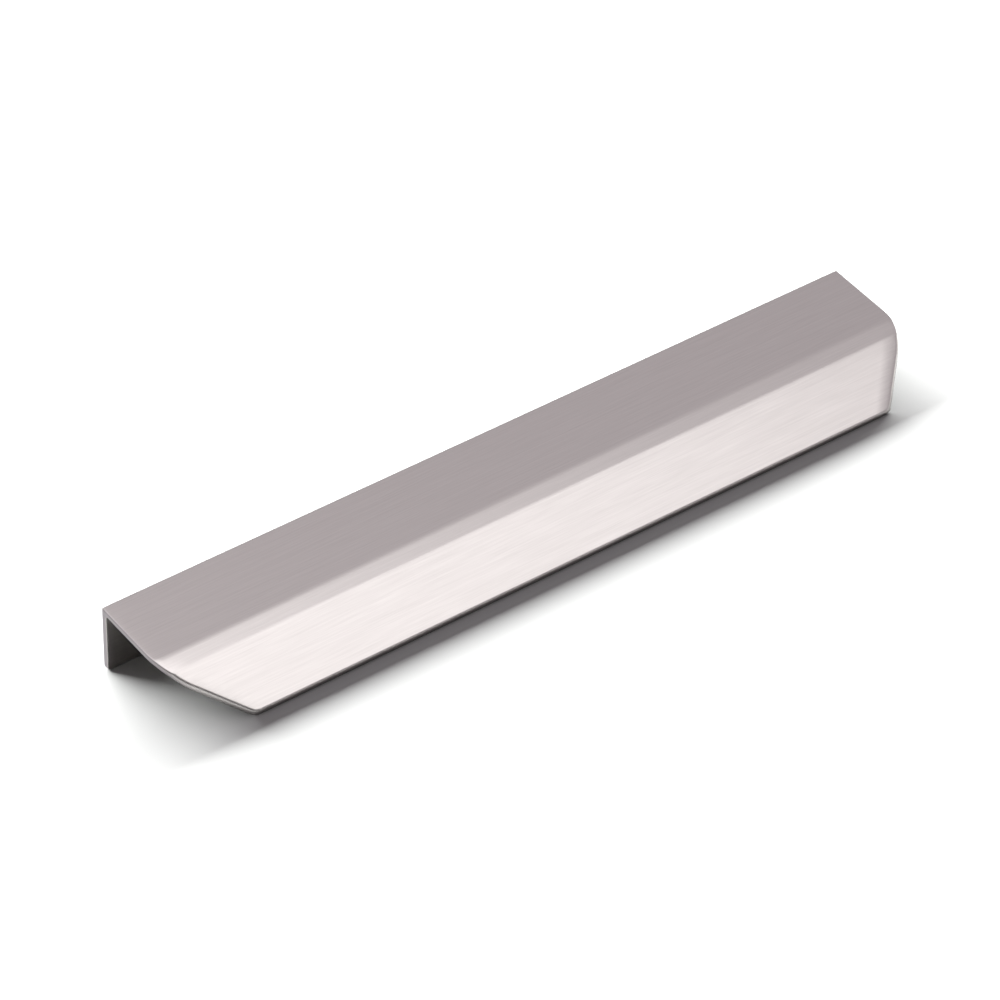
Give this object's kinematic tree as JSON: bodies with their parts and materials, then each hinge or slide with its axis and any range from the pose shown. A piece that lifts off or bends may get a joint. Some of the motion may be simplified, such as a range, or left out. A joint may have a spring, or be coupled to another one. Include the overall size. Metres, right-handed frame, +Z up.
{
  "type": "handleless finger pull profile",
  "caption": "Straight L-shaped finger pull profile: a screw-on back leg, a flat plate that lies on a door's edge and a downturned front lip with angled ends.",
  "frame": {"origin": "on the surface it stands on, under the middle of its bounding box", "axes": "+X along the length, -Y towards the lip, +Z up; it stands tipped forward on the lower edges of its leg and its lip"},
  "size_m": [0.2, 0.0392, 0.0174],
  "materials": {
    "brushed_nickel_finish": "brushed along its length, satin nickel colour"
  },
  "bodies": {
    "root": {"finger_pull_profile": "brushed_nickel_finish"}
  },
  "joints": []
}
